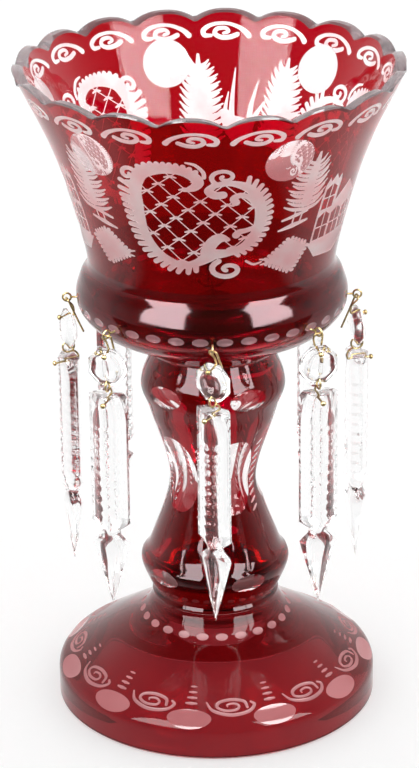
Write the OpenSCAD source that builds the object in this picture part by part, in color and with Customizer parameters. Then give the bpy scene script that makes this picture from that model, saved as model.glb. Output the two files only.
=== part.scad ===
// Mantel lustre: a flared glass bowl on a baluster stem and a domed foot,
// with glass drops that hang from wire eyes round the bowl.
// Millimetres, +Z up. The origin is the centre of the foot's resting face, and -Y is the front.

/* [Foot] */
// Diameter of the foot
foot_d = 148; // [136:1:160]
// Height of the upright band round the foot's edge
foot_band_h = 12; // [9:0.5:15]
// Radius of the rounded shoulder above the band
foot_shoulder_r = 7; // [5:0.5:9]
// Height of the foot, from the table to the lower wafer
foot_h = 50; // [47:1:56]
// Height at which the foot's slope is halfway to the neck
foot_slope_h = 30; // [28:0.5:32]
// Diameter of the foot's neck, where the lower wafer sits
foot_neck_d = 57; // [53:1:59]
// Thickness of the foot's glass
foot_wall = 6; // [4:0.5:7]
// Width of the flat ring that the foot rests on
foot_rest_w = 5; // [4:0.5:7]

/* [Stem] */
// Height of the stem, between its two wafers
stem_h = 119; // [115:1:125]
// Diameter of the lower knop
lower_knop_d = 68.4; // [64:0.2:72]
// Height of the lower knop's widest part above the lower wafer
lower_knop_h = 14.6; // [12:0.2:17]
// Depth of the step above the lower knop
knop_step = 4.6; // [3:0.2:6]
// Height of that step above the lower wafer
knop_step_h = 23.8; // [22:0.2:28]
// Diameter of the waist
waist_d = 40.6; // [37:0.2:46]
// Height of the waist above the lower wafer
waist_h = 56; // [52:1:60]
// Diameter of the slope under the upper knop
slope_d = 57.5; // [53:0.5:61]
// Height of the stem above that slope
slope_h = 30; // [26:1:36]
// Diameter of the upper knop
upper_knop_d = 65.6; // [62:0.2:70]
// Height of the stem above the upper knop's widest part
upper_knop_h = 16; // [13:0.5:20]
// Diameter of the stem's top, under the upper wafer
stem_top_d = 53.6; // [50:0.2:58]
// Thickness of the stem's glass
stem_wall = 6; // [4:0.5:8]
// Thickness of the glass that closes each end of the stem
stem_end_t = 8.4; // [6:0.2:10]
// Thickness of each joining wafer
wafer_t = 3; // [2:0.5:5]
// How far a wafer stands out beyond the necks that it joins
wafer_lip = 0.8; // [0.4:0.1:1.5]

/* [Bowl] */
// Height of the bowl, from the upper wafer to the tips of the scallops
bowl_h = 130; // [122:1:138]
// Diameter of the bowl's rim
rim_d = 173; // [163:1:183]
// Diameter of the bowl's base on the upper wafer
bowl_base_d = 58; // [54:1:62]
// Diameter of the swelling at the bottom of the bowl
bulge_d = 121.8; // [116:0.2:126]
// Height of the widest part of the swelling above the upper wafer
bulge_h = 25; // [23:0.5:28]
// Diameter of the groove above the swelling
groove_d = 111; // [106:0.5:114]
// Height of the groove above the widest part of the swelling
groove_h = 17; // [15:0.5:20]
// Thickness of the bowl's wall
bowl_wall = 5; // [4:0.5:7]
// Thickness of the glass under the middle of the bowl
bowl_floor = 6.5; // [5:0.5:9]
// Number of scallops round the rim
scallops = 18; // [12:2:24]
// Depth of the notch between two scallops
scallop_depth = 4.2; // [2:0.2:6]

/* [Wires] */
// Diameter of the brass wire
wire_d = 0.9; // [0.7:0.05:1]
// Diameter of the ball head at the end of each pin
ball_d = 2.4; // [2:0.1:3]
// Clearance of a pin in the hole that it stands in
pin_clearance = 0.25; // [0.15:0.05:0.35]
// Height of the drilled eye holes above the upper wafer
eye_h = 21; // [18:0.5:23]
// Distance from the bowl's wall to the middle of the wire eye
eye_reach = 4.6; // [4:0.1:6]
// Radius of the wire eye, to the middle of its wire
eye_r = 1.85; // [1.8:0.05:2.2]
// Drop from the eye to the button's upper pin
hook_drop = 8.6; // [8:0.1:11]
// Half the width of the hook's bend over the eye
hook_half_w = 2; // [1.9:0.05:2.4]
// Drop of the hook pin's free tail
hook_tail = 16; // [12:0.5:20]
// Radius of the link ring, to the middle of its wire
link_r = 2.7; // [2.6:0.05:3]
// Drop from the bottom of the link ring to the prism's pin
link_drop = 4.6; // [4.4:0.1:6]

/* [Buttons] */
// Width of a button, flat to flat
button_w = 17; // [15:0.5:20]
// Width of the raised step on a button's face
button_step_w = 10.6; // [10:0.2:11.4]
// Width of the flat table in the middle of a button's face
button_table_w = 6.2; // [5:0.2:8]
// Thickness of a button at its edge
button_edge_t = 1.8; // [1.4:0.1:2.2]
// Thickness of a button at its step
button_step_t = 4.4; // [3.8:0.1:4.8]
// Thickness of a button at its table
button_t = 7.2; // [6:0.2:9]
// Diameter of the two holes in a button
button_hole_d = 2.2; // [2.15:0.05:2.5]
// Distance from a button's edge to the middle of each hole
button_hole_inset = 2.2; // [2:0.1:2.4]

/* [Prisms] */
// Width of a prism
prism_w = 18; // [15:0.5:21]
// Depth of a prism from its widest part to its flat back
prism_back_t = 3.6; // [3:0.2:4.4]
// Depth of a prism from its widest part to its ridge
prism_ridge_t = 5.4; // [4:0.2:6.4]
// Length of a prism's bar
prism_bar_l = 61.6; // [54:0.2:70]
// Length of the taper from the bar to the neck
prism_taper_l = 3.6; // [2.6:0.2:5]
// Length of the neck
prism_neck_l = 2.6; // [2:0.2:4]
// Width of the neck
prism_neck_w = 9; // [7:0.2:11]
// Length of the spearhead's shoulder under the neck
spear_shoulder_l = 3.6; // [2.6:0.2:5]
// Length of the spearhead from its shoulder to its tip
spear_l = 30.6; // [26:0.2:36]
// Width of the spearhead
spear_w = 17.6; // [14:0.2:20]
// Distance from the prism's top to the middle of its hole
prism_hole_inset = 3.2; // [2.8:0.1:3.4]
// Number of notches in the prism's ridge
prism_notches = 10; // [5:1:12]
// Depth of a notch
notch_depth = 1.3; // [0.8:0.1:1.8]
// Distance from the prism's top to its first notch
notch_start = 15; // [10:0.5:20]
// Distance from the last notch to the end of the bar
notch_end = 3; // [2:0.5:6]

/* [Hidden] */
DROPS = 8;
FRONT = -90;
// Turn of the rim's first notch from the front
SCALLOP_TURN = 4.5;
// How far each drop is turned about its own hanging line, from the front one round to the right
DROP_TURN = [-36, -28, 14, -12, 8, -18, 20, 26];

RUBY = [0.42, 0.01, 0.05];
CLEAR = [0.93, 0.95, 0.96];
BRASS = [0.78, 0.58, 0.22];

$fn = 96;
WIRE_FN = 20;
RING_FN = 48;
HOLE_FN = 24;
CURVE_STEPS = 6;
ARC_STEPS = 6;
FLOOR_STEPS = 12;

// Heights of the stacked glass pieces
stem_z = foot_h + wafer_t;
bowl_wafer_z = stem_z + stem_h;
bowl_z = bowl_wafer_z + wafer_t;
total_h = bowl_z + bowl_h;

// A smooth curve through a list of [radius, height] points
function between(a, b, c, d, t) =
    0.5 * (2 * b + (c - a) * t + (2 * a - 5 * b + 4 * c - d) * t * t + (3 * b - a - 3 * c + d) * t * t * t);
function smooth(p) = [
    for (i = [0 : len(p) - 2]) for (k = [0 : CURVE_STEPS - 1])
        between(p[max(i - 1, 0)], p[i], p[i + 1], p[min(i + 2, len(p) - 1)], k / CURVE_STEPS),
    p[len(p) - 1]
];
function reversed(p) = [for (i = [len(p) - 1 : -1 : 0]) p[i]];
// Radius of a profile at a height
function radius_at(p, z) = lookup(z, [for (q = p) [q[1], q[0]]]);

// Foot: an upright band, a rounded shoulder, a straight slope and a hollow curve up to the neck
foot_r = foot_d / 2;
foot_neck_r = foot_neck_d / 2;
foot_mid_r = (foot_r + foot_neck_r) / 2;
edge_bevel = 1.2;
// The shoulder turns through this angle before the slope begins
shoulder_turn = 60;
foot_shoulder = [
    for (i = [0 : ARC_STEPS])
        let (a = shoulder_turn * i / ARC_STEPS)
        [foot_r - foot_shoulder_r * (1 - cos(a)), foot_band_h + foot_shoulder_r * sin(a)]
];
neck_flare = 7;
neck_flare_h = 10;
foot_slope = smooth([
    foot_shoulder[ARC_STEPS],
    [foot_mid_r, foot_slope_h],
    [foot_neck_r + neck_flare, foot_h - neck_flare_h],
    [foot_neck_r + neck_flare / 6, foot_h - neck_flare_h / 3.5],
    [foot_neck_r, foot_h]
]);
foot_outer = concat(
    [[foot_r - edge_bevel, 0], [foot_r, edge_bevel]],
    [for (i = [0 : ARC_STEPS - 1]) foot_shoulder[i]],
    foot_slope
);
// The hollow underneath keeps the wall's thickness under the slope
foot_hollow_r = foot_r - foot_rest_w;
foot_hollow_top = foot_h - foot_wall - 2.4;
hollow_draft = 3;
foot_hollow = smooth([
    [foot_hollow_r, 0],
    [foot_hollow_r - hollow_draft, foot_band_h / 2],
    [foot_mid_r - foot_wall / 2, foot_slope_h - foot_wall],
    [foot_neck_r - foot_wall / 2, foot_h - neck_flare_h - foot_wall - 2],
    [foot_neck_r - foot_wall * 1.5, foot_hollow_top - 2],
    [0, foot_hollow_top]
]);

module foot() {
    color(RUBY)
    rotate_extrude()
    polygon(concat(foot_outer, [[0, foot_h]], reversed(foot_hollow)));
}

// Stem: a hollow baluster, given by its knops and its waist
stem_outer = smooth([
    [foot_neck_r, stem_z],
    [lower_knop_d / 2, stem_z + lower_knop_h],
    [lower_knop_d / 2 - knop_step, stem_z + knop_step_h],
    [waist_d / 2, stem_z + waist_h],
    [slope_d / 2, bowl_wafer_z - slope_h],
    [upper_knop_d / 2, bowl_wafer_z - upper_knop_h],
    [stem_top_d / 2, bowl_wafer_z]
]);
stem_inner = [
    for (p = stem_outer)
        if (p[1] > stem_z + stem_end_t && p[1] < stem_z + stem_h - stem_end_t) [p[0] - stem_wall, p[1]]
];

module stem() {
    color(RUBY)
    rotate_extrude()
    difference() {
        polygon(concat([[0, stem_z]], stem_outer, [[0, stem_z + stem_h]]));
        polygon(concat(
            [[0, stem_inner[0][1]]],
            stem_inner,
            [[0, stem_inner[len(stem_inner) - 1][1]]]
        ));
    }
}

// A wafer is a thin disc with a pointed edge, a little wider than the necks that it joins
module wafer(z, neck_r) {
    color(RUBY)
    translate([0, 0, z])
    rotate_extrude()
    polygon([[0, 0], [neck_r, 0], [neck_r + wafer_lip, wafer_t / 2], [neck_r, wafer_t], [0, wafer_t]]);
}
module foot_wafer() wafer(foot_h, foot_neck_r);
module bowl_wafer() wafer(bowl_wafer_z, max(stem_top_d, bowl_base_d) / 2);

// Bowl: a swelling on the wafer, a groove and a flared wall
bulge_r = bulge_d / 2;
bulge_z = bowl_z + bulge_h;
groove_r = groove_d / 2;
groove_z = bulge_z + groove_h;
rim_r = rim_d / 2;
flare = rim_r - groove_r;
flare_h = total_h - groove_z;
bowl_outer = smooth([
    [bowl_base_d / 2, bowl_z],
    [bulge_r - 11, bulge_z - 15.8],
    [bulge_r - 2.2, bulge_z - 8],
    [bulge_r, bulge_z],
    [bulge_r - 2.4, bulge_z + groove_h / 2],
    [groove_r, groove_z],
    [groove_r + flare * 0.24, groove_z + flare_h * 0.35],
    [groove_r + flare * 0.52, groove_z + flare_h * 0.64],
    [rim_r, total_h]
]);
// The inside follows the wall down to the swelling and closes in a rounded floor
bowl_floor_z = bowl_z + bowl_floor;
bowl_inner = concat(
    [
        for (i = [0 : FLOOR_STEPS - 1])
            let (a = 90 * i / FLOOR_STEPS)
            [(bulge_r - bowl_wall) * sin(a), bulge_z - (bulge_z - bowl_floor_z) * cos(a)]
    ],
    [for (p = bowl_outer) if (p[1] >= bulge_z - 0.01) [p[0] - bowl_wall, p[1]]]
);

// The rim is cut between the scallops: each notch lies between two arcs that meet in a point
notch_inside = rim_r - bowl_wall - 3;
notch_half_w = notch_inside * tan(180 / scallops) * 0.98;
scallop_r = (notch_half_w * notch_half_w + scallop_depth * scallop_depth) / (2 * scallop_depth);
over = 2;

module scallop_notch() {
    translate([notch_inside, 0, total_h])
    rotate([90, 0, 90])
    linear_extrude(rim_r - notch_inside + over)
    difference() {
        translate([-notch_half_w, -scallop_depth - over])
        square([2 * notch_half_w, scallop_depth + 2 * over]);
        for (side = [-1, 1])
            translate([side * notch_half_w, -scallop_r])
            circle(r = scallop_r);
    }
}

// Eye holes and the pins in them
wire_r = wire_d / 2;
ball_r = ball_d / 2;
pin_hole_d = wire_d + 2 * pin_clearance;
eye_z = bowl_z + eye_h;
eye_wall_r = radius_at(bowl_outer, eye_z);
eye_inner_r = radius_at(bowl_inner, eye_z);
hang_r = eye_wall_r + eye_reach;

module at_drop(k) {
    rotate([0, 0, FRONT + 360 / DROPS * (k - 1)])
    children();
}

module bowl() {
    color(RUBY)
    difference() {
        rotate_extrude()
        polygon(concat([[0, bowl_z]], bowl_outer, reversed(bowl_inner)));
        for (i = [0 : scallops - 1])
            rotate([0, 0, FRONT + SCALLOP_TURN + 360 / scallops * i])
            scallop_notch();
        for (k = [1 : DROPS])
            at_drop(k)
            translate([eye_inner_r - bowl_wall, 0, eye_z])
            rotate([0, 90, 0])
            cylinder(d = pin_hole_d, h = eye_wall_r - eye_inner_r + 2 * bowl_wall, $fn = HOLE_FN);
    }
}

// A straight length of wire between two points
module wire(a, b) {
    run = b - a;
    length = norm(run);
    translate(a)
    rotate([0, acos(run[2] / length), atan2(run[1], run[0])])
    cylinder(r = wire_r, h = length, $fn = WIRE_FN);
}

module ball(p, r) {
    translate(p)
    sphere(r = r, $fn = WIRE_FN);
}

// A bent wire through a list of points, a little thicker where it is bent
bend_swell = 1.45;
module bent_wire(p) {
    for (i = [0 : len(p) - 2])
        wire(p[i], p[i + 1]);
    for (i = [1 : len(p) - 2])
        ball(p[i], wire_r * bend_swell);
}

module wire_ring(p, r) {
    translate(p)
    rotate([90, 0, 0])
    rotate_extrude($fn = RING_FN)
    translate([r, 0])
    circle(r = wire_r, $fn = WIRE_FN);
}

// The ball head lies against the inside of the bowl, whose wall leans there
seat_gap = 0.12;
inner_lean = atan(radius_at(bowl_inner, eye_z + 0.5) - radius_at(bowl_inner, eye_z - 0.5));
eye_ball_x = eye_inner_r - (ball_r + seat_gap) / cos(inner_lean);

module eye_pin(k) {
    color(BRASS)
    at_drop(k) {
        wire([eye_ball_x, 0, eye_z], [hang_r - eye_r, 0, eye_z]);
        ball([eye_ball_x, 0, eye_z], ball_r);
        wire_ring([hang_r, 0, eye_z], eye_r);
    }
}

// A drop hangs from the bottom of the eye and is turned about its own plumb line
hook_gap = 0.25;
hook_z = eye_z - (eye_r - 2 * wire_r - hook_gap);

module at_hook(k) {
    at_drop(k)
    translate([hang_r, 0, hook_z])
    rotate([0, 0, DROP_TURN[k - 1]])
    children();
}

// Half the thickness of a button at a distance from its centre
button_r = button_w / 2;
function button_half_t(d) = lookup(d, [
    [button_table_w / 2, button_t / 2],
    [button_step_w / 2, button_step_t / 2],
    [button_r, button_edge_t / 2]
]);
button_hole_x = button_r - button_hole_inset;
// The button hangs on its pin, so the pin lies high in the hole
pin_rise = button_hole_d / 2 - wire_r - pin_clearance;
button_z = -hook_drop + pin_rise - button_hole_x;
pin_back = button_half_t(button_hole_x) + wire_d * bend_swell + pin_clearance;
pin_front = button_half_t(button_hole_x - ball_r) + ball_r + pin_clearance;
// The tail runs down behind the button, clear of its thickest part
tail_back = button_t / 2 + wire_r + 2.6;
bend_drop = 1.1;

module hook_pin(k) {
    color(BRASS)
    at_hook(k) {
        bent_wire([
            [pin_front, 0, -hook_drop],
            [-pin_back, 0, -hook_drop],
            [-pin_back * 0.9, -hook_half_w * 0.6, -hook_drop / 2],
            [0, -hook_half_w, -bend_drop],
            [0, -hook_half_w * 0.7, 0],
            [0, hook_half_w * 0.7, 0],
            [0, hook_half_w, -bend_drop],
            [-tail_back, hook_half_w * 1.3, -hook_tail]
        ]);
        ball([pin_front, 0, -hook_drop], ball_r);
    }
}

// An eight-sided step that narrows from one width to another
OCTAGON = 8;
flat_to_corner = 1 / cos(180 / OCTAGON);
module octagon_step(low_w, high_w, low, high) {
    translate([0, 0, low])
    rotate([0, 0, 180 / OCTAGON])
    cylinder(d1 = low_w * flat_to_corner, d2 = high_w * flat_to_corner, h = high - low, $fn = OCTAGON);
}

module button(k) {
    color(CLEAR)
    at_hook(k)
    translate([0, 0, button_z])
    rotate([0, 90, 0])
    difference() {
        union() {
            octagon_step(button_w, button_w, -button_edge_t / 2, button_edge_t / 2);
            for (side = [0, 1])
                mirror([0, 0, side]) {
                    octagon_step(button_w, button_step_w, button_edge_t / 2, button_step_t / 2);
                    octagon_step(button_step_w, button_table_w, button_step_t / 2, button_t / 2);
                }
        }
        for (side = [-1, 1])
            translate([side * button_hole_x, 0, 0])
            cylinder(d = button_hole_d, h = 2 * button_t, center = true, $fn = HOLE_FN);
    }
}

// The link ring passes through the button's lower hole and turns about its own centre
link_rise = 0.35;
link_z = button_z - button_hole_x + link_rise - link_r;
prism_pin_z = link_z - link_r - link_drop;
prism_pin_back = prism_back_t + wire_d + seat_gap;
prism_pin_front = prism_ridge_t + ball_r + seat_gap;
// Where the shank leaves the ring, from its lowest point
shank_turn = 35;

module link_pin(k) {
    color(BRASS)
    at_hook(k) {
        wire_ring([0, 0, link_z], link_r);
        bent_wire([
            [-link_r * sin(shank_turn), 0, link_z - link_r * cos(shank_turn)],
            [-prism_pin_back, 0, prism_pin_z + prism_hole_inset + wire_d],
            [-prism_pin_back, 0, prism_pin_z],
            [prism_pin_front, 0, prism_pin_z]
        ]);
        ball([prism_pin_front, 0, prism_pin_z], ball_r);
    }
}

// Prism: a bar with a flat back and a ridge in front, a short neck and a spearhead.
// Each section is a pentagon: two corners on the back, two at the sides and the ridge.
prism_top = prism_pin_z + prism_hole_inset;
back_share = 0.68;
neck_share = 0.66;
spear_share = 0.92;
tip_share = 0.02;
function prism_section(z, w, deep) = [
    [-prism_back_t * deep, -w / 2 * back_share, z],
    [0, -w / 2, z],
    [prism_ridge_t * deep, 0, z],
    [0, w / 2, z],
    [-prism_back_t * deep, w / 2 * back_share, z]
];
taper_z = -prism_bar_l;
neck_z = taper_z - prism_taper_l;
shoulder_z = neck_z - prism_neck_l;
spear_z = shoulder_z - spear_shoulder_l;
tip_z = spear_z - spear_l;
prism_levels = [
    prism_section(0, prism_w, 1),
    prism_section(taper_z, prism_w, 1),
    prism_section(neck_z, prism_neck_w, neck_share),
    prism_section(shoulder_z, prism_neck_w, neck_share),
    prism_section(spear_z, spear_w, spear_share),
    prism_section(tip_z, spear_w * tip_share, tip_share)
];
CORNERS = 5;
prism_points = [for (level = prism_levels) for (p = level) p];
prism_faces = concat(
    [[for (i = [0 : CORNERS - 1]) i]],
    [
        for (j = [0 : len(prism_levels) - 2]) for (i = [0 : CORNERS - 1])
            let (n = (i + 1) % CORNERS, upper = j * CORNERS, lower = (j + 1) * CORNERS)
            [upper + n, upper + i, lower + i, lower + n]
    ],
    [[for (i = [CORNERS - 1 : -1 : 0]) (len(prism_levels) - 1) * CORNERS + i]]
);
notch_pitch = (prism_bar_l - notch_start - notch_end) / (prism_notches - 1);
notch_side = notch_depth * sqrt(2);

module prism(k) {
    color(CLEAR)
    at_hook(k)
    translate([0, 0, prism_top])
    difference() {
        polyhedron(prism_points, prism_faces);
        translate([0, 0, -prism_hole_inset])
        rotate([0, 90, 0])
        cylinder(d = pin_hole_d, h = 4 * (prism_back_t + prism_ridge_t), center = true, $fn = HOLE_FN);
        for (i = [0 : prism_notches - 1])
            translate([prism_ridge_t, 0, -notch_start - notch_pitch * i])
            rotate([0, 45, 0])
            cube([notch_side, prism_w, notch_side], center = true);
    }
}

bowl();
bowl_wafer();
stem();
foot_wafer();
foot();
for (k = [1 : DROPS]) {
    eye_pin(k);
    hook_pin(k);
    button(k);
    link_pin(k);
    prism(k);
}
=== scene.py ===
"""Looks of a mantel lustre: ruby stained glass with cut and etched ornament, hung with clear drops.

Places on the glass are given by an angle from the front, growing to the right, and by a distance
along the outer profile. Shapes on the glass are signed distances in millimetres, negative inside.
"""

import math

import bpy
import numpy as np
from mathutils import Matrix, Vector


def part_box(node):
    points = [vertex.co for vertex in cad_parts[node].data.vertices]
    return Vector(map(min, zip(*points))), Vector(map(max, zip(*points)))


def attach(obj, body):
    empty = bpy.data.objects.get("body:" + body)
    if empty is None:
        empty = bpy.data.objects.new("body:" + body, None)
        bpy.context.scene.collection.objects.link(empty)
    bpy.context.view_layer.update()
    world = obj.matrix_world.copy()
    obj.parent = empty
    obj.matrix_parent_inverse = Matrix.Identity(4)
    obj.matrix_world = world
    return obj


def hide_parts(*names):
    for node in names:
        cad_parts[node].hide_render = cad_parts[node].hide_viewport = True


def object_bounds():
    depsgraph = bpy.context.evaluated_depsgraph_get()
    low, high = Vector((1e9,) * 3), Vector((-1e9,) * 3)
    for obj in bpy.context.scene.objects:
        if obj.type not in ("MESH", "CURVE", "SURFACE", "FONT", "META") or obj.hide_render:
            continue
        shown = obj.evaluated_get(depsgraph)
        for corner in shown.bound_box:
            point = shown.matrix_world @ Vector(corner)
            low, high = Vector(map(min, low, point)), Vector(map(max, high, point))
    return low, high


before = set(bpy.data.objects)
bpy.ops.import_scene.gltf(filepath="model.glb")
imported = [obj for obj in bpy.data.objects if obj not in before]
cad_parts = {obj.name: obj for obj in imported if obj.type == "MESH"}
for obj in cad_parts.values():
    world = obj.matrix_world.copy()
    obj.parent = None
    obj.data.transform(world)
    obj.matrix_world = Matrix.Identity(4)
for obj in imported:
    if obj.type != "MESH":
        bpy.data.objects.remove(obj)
cad_low, cad_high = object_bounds()

MM = 0.001
FULL_TURN = 2 * math.pi


# Sizes, in millimetres, from the frame
def low_mm(node):
    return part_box(node)[0] / MM


def high_mm(node):
    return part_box(node)[1] / MM


FOOT_R = high_mm("foot").x
FOOT_TOP = high_mm("foot").z
STEM_LOW = low_mm("stem").z
STEM_TOP = high_mm("stem").z
BOWL_LOW = low_mm("bowl").z
BOWL_TOP = high_mm("bowl").z
RIM_R = high_mm("bowl").x
WALL = 5.0
# Air left between stacked glass pieces, so that no two faces share a plane
SEAT_GAP = 0.05


# Curves
SPIRAL_STEPS = 18
SPIRAL_TAPER = 0.25


def smooth(points, steps=10):
    """A smooth curve through rows of numbers."""
    p = np.asarray(points, float)
    spans = np.arange(len(p) - 1)
    a = p[np.maximum(spans - 1, 0)][:, None, :]
    b = p[:-1][:, None, :]
    c = p[1:][:, None, :]
    d = p[np.minimum(spans + 2, len(p) - 1)][:, None, :]
    t = (np.arange(steps) / steps)[None, :, None]
    bend = (2 * a - 5 * b + 4 * c - d) * t**2 + (3 * b - a - 3 * c + d) * t**3
    curve = b + 0.5 * ((c - a) * t + bend)
    return np.vstack([curve.reshape(-1, p.shape[1]), p[-1:]])


def lengths_along(path):
    """Distance from a path's start to each of its points."""
    return np.concatenate([[0], np.cumsum(np.hypot(*np.diff(path, axis=0).T))])


def spiral(across, up, outer, inner, turns, start, half_w, stretch=1.0):
    """Rows of [across, up, half width] that wind in from an outer to an inner radius."""
    t = np.linspace(0, 1, int(abs(turns) * SPIRAL_STEPS) + 2)
    radius = outer + (inner - outer) * t
    angle = math.radians(start) + FULL_TURN * turns * t
    width = half_w * (1 - SPIRAL_TAPER * t)
    return np.column_stack([across + stretch * radius * np.cos(angle), up + radius * np.sin(angle), width])


# Shapes on the glass: functions of across and up that give a signed distance, up to the margin
MARGIN = 3.0


def stroke(path):
    """A line through rows of [across, up, half width]."""
    path = np.asarray(path, float)
    widest = path[:, 2].max() + MARGIN
    low = path[:, :2].min(0) - widest
    high = path[:, :2].max(0) + widest

    def distance(a, b):
        result = np.full(a.shape, MARGIN)
        near = (a > low[0]) & (a < high[0]) & (b > low[1]) & (b < high[1])
        x, y = a[near], b[near]
        best = np.full(x.shape, MARGIN)
        for (x0, y0, w0), (x1, y1, w1) in zip(path[:-1], path[1:]):
            dx, dy = x1 - x0, y1 - y0
            t = np.clip(((x - x0) * dx + (y - y0) * dy) / max(dx * dx + dy * dy, 1e-9), 0, 1)
            best = np.minimum(best, np.hypot(x - x0 - t * dx, y - y0 - t * dy) - w0 - t * (w1 - w0))
        result[near] = best
        return result

    return distance


def oval(half_w, half_h, power=2.0):
    """An oval about the origin; a power over 2 makes it squarer."""

    def distance(a, b):
        q = (np.abs(a / half_w) ** power + np.abs(b / half_h) ** power) ** (1 / power)
        return np.minimum((q - 1) * min(half_w, half_h), MARGIN)

    return distance


def outline(points):
    """A closed shape with straight sides."""
    corners = [tuple(p) for p in points]

    def distance(a, b):
        best = np.full(a.shape, MARGIN)
        inside = np.zeros(a.shape, bool)
        for (x0, y0), (x1, y1) in zip(corners, corners[1:] + corners[:1]):
            dx, dy = x1 - x0, y1 - y0
            t = np.clip(((a - x0) * dx + (b - y0) * dy) / max(dx * dx + dy * dy, 1e-9), 0, 1)
            best = np.minimum(best, np.hypot(a - x0 - t * dx, b - y0 - t * dy))
            if dy:
                inside ^= ((y0 > b) != (y1 > b)) & (a < x0 + dx * (b - y0) / dy)
        return np.where(inside, -best, best)

    return distance


def union(*shapes):
    return lambda a, b: np.minimum.reduce([shape(a, b) for shape in shapes])


def clipped(shape, region):
    return lambda a, b: np.maximum(shape(a, b), region(a, b))


def without(shape, hole):
    return lambda a, b: np.maximum(shape(a, b), -hole(a, b))


def mirrored(shape):
    return lambda a, b: shape(-a, b)


def feathers(path, side, pitch, first, last, half_w):
    """Blunt strokes that stand out from one side of a band, from a first to a last length."""
    path = np.asarray(path, float)
    along = lengths_along(path[:, :2])
    # How far a feather leans back along the band, as a share of its length
    lean = 0.4
    # Where a feather is rooted, as a share of the band's half width, and how wide its tip is
    rooted = 0.6
    blunt = 0.85
    probe = 0.5

    def at(s):
        return [np.interp(s, along, column) for column in path.T]

    strokes = []
    for s in np.arange(pitch / 2, along[-1], pitch):
        x, y, w = at(s)
        back_x, back_y, _ = at(s - probe)
        on_x, on_y, _ = at(s + probe)
        size = math.hypot(on_x - back_x, on_y - back_y) or 1.0
        tx, ty = (on_x - back_x) / size, (on_y - back_y) / size
        nx, ny = -ty * side, tx * side
        reach = w * (1 - rooted) + first + (last - first) * s / along[-1]
        x, y = x + nx * w * rooted, y + ny * w * rooted
        strokes.append(stroke([
            [x, y, half_w],
            [x + (nx - tx * lean) * reach, y + (ny - ty * lean) * reach, half_w * blunt],
        ]))
    return union(*strokes)


# Ornament
def rim_scroll():
    """An arched band with curled ends over a small spiral."""
    arch = smooth([
        [-10.9, -2.1, 1.4], [-8.3, 0.4, 1.1], [-3.2, 2.7, 0.85], [1.9, 3.3, 0.8],
        [7.0, 2.4, 0.95], [10.4, 0.0, 1.2], [9.8, -2.3, 1.1], [6.8, -2.5, 0.8],
    ])
    curl = smooth([
        [-5.6, -1.8, 1.1], [-2.2, -3.1, 1.15], [2.0, -3.3, 1.1], [5.0, -1.6, 1.1], [4.0, 0.6, 1.0],
        [0.2, 1.0, 0.9], [-1.4, -0.5, 0.8], [0.9, -1.4, 0.7],
    ])
    return union(stroke(arch), stroke(curl))


def foot_scroll():
    """A spiral that lies in a shallow curled band."""
    band = smooth([
        [-11.0, 2.6, 0.4], [-8.4, -1.6, 0.8], [-0.5, -3.9, 0.9],
        [7.6, -2.7, 0.85], [10.6, 0.3, 0.75], [9.0, 2.1, 0.5],
    ])
    curl = smooth([
        [7.2, -0.5, 0.65], [5.8, 2.7, 0.75], [0.2, 4.0, 0.8], [-5.2, 2.8, 0.75],
        [-6.4, 0.2, 0.7], [-2.8, -1.6, 0.7], [2.2, -1.3, 0.65], [3.4, 0.5, 0.6],
        [1.4, 1.9, 0.55], [-1.6, 1.5, 0.5], [-1.8, 0.5, 0.4],
    ])
    return union(stroke(band), stroke(curl))


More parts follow.
